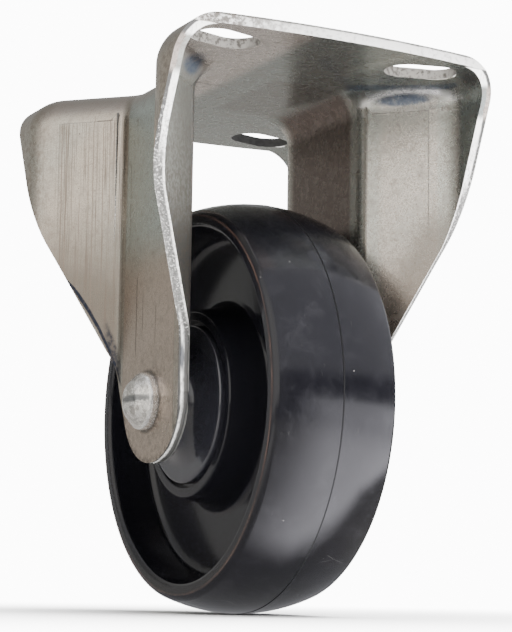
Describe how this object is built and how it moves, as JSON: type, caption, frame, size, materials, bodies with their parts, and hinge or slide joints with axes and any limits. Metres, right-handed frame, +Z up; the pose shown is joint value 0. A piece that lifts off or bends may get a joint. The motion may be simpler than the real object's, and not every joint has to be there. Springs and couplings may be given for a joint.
{
  "type": "fixed castor",
  "caption": "Fixed plate castor with a one-piece pressed steel housing and a smooth black plastic wheel on a roller bearing.",
  "frame": {"origin": "centre of the plate's flat top face, which is bolted under what the castor carries", "axes": "+Z up out of the mounting face, X along the axle, Y the rolling direction"},
  "size_m": [0.084, 0.1052, 0.1315],
  "materials": {
    "zinc_plate": "bright zinc plating, satin, lightly mottled",
    "rivet_zinc": "bright zinc plating on a formed head",
    "turned_steel": "turned steel tube",
    "hard_steel": "ground hardened steel",
    "black_moulding": "smooth black polyamide moulding, satin gloss",
    "black_cap": "smooth black moulded cap",
    "cage_plastic": "natural polyamide, matt"
  },
  "bodies": {
    "housing": {"housing": "zinc_plate", "axle_rivet": "rivet_zinc", "axle_sleeve": "turned_steel"},
    "wheel": {"wheel": "black_moulding", "hub_cap_left": "black_cap", "hub_cap_right": "black_cap"},
    "cage": {"roller_cage": "cage_plastic"},
    "roller_1": {"roller_1": "hard_steel"},
    "roller_2": {"roller_2": "hard_steel"},
    "roller_3": {"roller_3": "hard_steel"},
    "roller_4": {"roller_4": "hard_steel"},
    "roller_5": {"roller_5": "hard_steel"},
    "roller_6": {"roller_6": "hard_steel"},
    "roller_7": {"roller_7": "hard_steel"},
    "roller_8": {"roller_8": "hard_steel"},
    "roller_9": {"roller_9": "hard_steel"},
    "roller_10": {"roller_10": "hard_steel"},
    "roller_11": {"roller_11": "hard_steel"},
    "roller_12": {"roller_12": "hard_steel"},
    "roller_13": {"roller_13": "hard_steel"}
  },
  "joints": [
    {"name": "wheel_spin", "type": "hinge", "parent": "housing", "child": "wheel", "pos_m": [0, 0, -0.0815], "axis": [1, 0, 0], "continuous": true},
    {"name": "cage_spin", "type": "hinge", "parent": "housing", "child": "cage", "pos_m": [0, 0, -0.0815], "axis": [1, 0, 0], "continuous": true},
    {"name": "roller_1_spin", "type": "hinge", "parent": "cage", "child": "roller_1", "pos_m": [0, 0.00886, -0.07931], "axis": [1, 0, 0], "continuous": true},
    {"name": "roller_2_spin", "type": "hinge", "parent": "cage", "child": "roller_2", "pos_m": [0, 0.00683, -0.07545], "axis": [1, 0, 0], "continuous": true},
    {"name": "roller_3_spin", "type": "hinge", "parent": "cage", "child": "roller_3", "pos_m": [0, 0.00324, -0.07296], "axis": [1, 0, 0], "continuous": true},
    {"name": "roller_4_spin", "type": "hinge", "parent": "cage", "child": "roller_4", "pos_m": [0, -0.0011, -0.07244], "axis": [1, 0, 0], "continuous": true},
    {"name": "roller_5_spin", "type": "hinge", "parent": "cage", "child": "roller_5", "pos_m": [0, -0.00519, -0.07399], "axis": [1, 0, 0], "continuous": true},
    {"name": "roller_6_spin", "type": "hinge", "parent": "cage", "child": "roller_6", "pos_m": [0, -0.00808, -0.07726], "axis": [1, 0, 0], "continuous": true},
    {"name": "roller_7_spin", "type": "hinge", "parent": "cage", "child": "roller_7", "pos_m": [0, -0.00913, -0.0815], "axis": [1, 0, 0], "continuous": true},
    {"name": "roller_8_spin", "type": "hinge", "parent": "cage", "child": "roller_8", "pos_m": [0, -0.00808, -0.08574], "axis": [1, 0, 0], "continuous": true},
    {"name": "roller_9_spin", "type": "hinge", "parent": "cage", "child": "roller_9", "pos_m": [0, -0.00519, -0.08901], "axis": [1, 0, 0], "continuous": true},
    {"name": "roller_10_spin", "type": "hinge", "parent": "cage", "child": "roller_10", "pos_m": [0, -0.0011, -0.09056], "axis": [1, 0, 0], "continuous": true},
    {"name": "roller_11_spin", "type": "hinge", "parent": "cage", "child": "roller_11", "pos_m": [0, 0.00324, -0.09004], "axis": [1, 0, 0], "continuous": true},
    {"name": "roller_12_spin", "type": "hinge", "parent": "cage", "child": "roller_12", "pos_m": [0, 0.00683, -0.08755], "axis": [1, 0, 0], "continuous": true},
    {"name": "roller_13_spin", "type": "hinge", "parent": "cage", "child": "roller_13", "pos_m": [0, 0.00886, -0.08368], "axis": [1, 0, 0], "continuous": true}
  ],
  "couplings": [
    {"joint": "cage_spin", "follows": "wheel_spin", "ratio": 0.58791},
    {"joint": "roller_1_spin", "follows": "wheel_spin", "ratio": 2.7558},
    {"joint": "roller_2_spin", "follows": "wheel_spin", "ratio": 2.7558},
    {"joint": "roller_3_spin", "follows": "wheel_spin", "ratio": 2.7558},
    {"joint": "roller_4_spin", "follows": "wheel_spin", "ratio": 2.7558},
    {"joint": "roller_5_spin", "follows": "wheel_spin", "ratio": 2.7558},
    {"joint": "roller_6_spin", "follows": "wheel_spin", "ratio": 2.7558},
    {"joint": "roller_7_spin", "follows": "wheel_spin", "ratio": 2.7558},
    {"joint": "roller_8_spin", "follows": "wheel_spin", "ratio": 2.7558},
    {"joint": "roller_9_spin", "follows": "wheel_spin", "ratio": 2.7558},
    {"joint": "roller_10_spin", "follows": "wheel_spin", "ratio": 2.7558},
    {"joint": "roller_11_spin", "follows": "wheel_spin", "ratio": 2.7558},
    {"joint": "roller_12_spin", "follows": "wheel_spin", "ratio": 2.7558},
    {"joint": "roller_13_spin", "follows": "wheel_spin", "ratio": 2.7558}
  ]
}
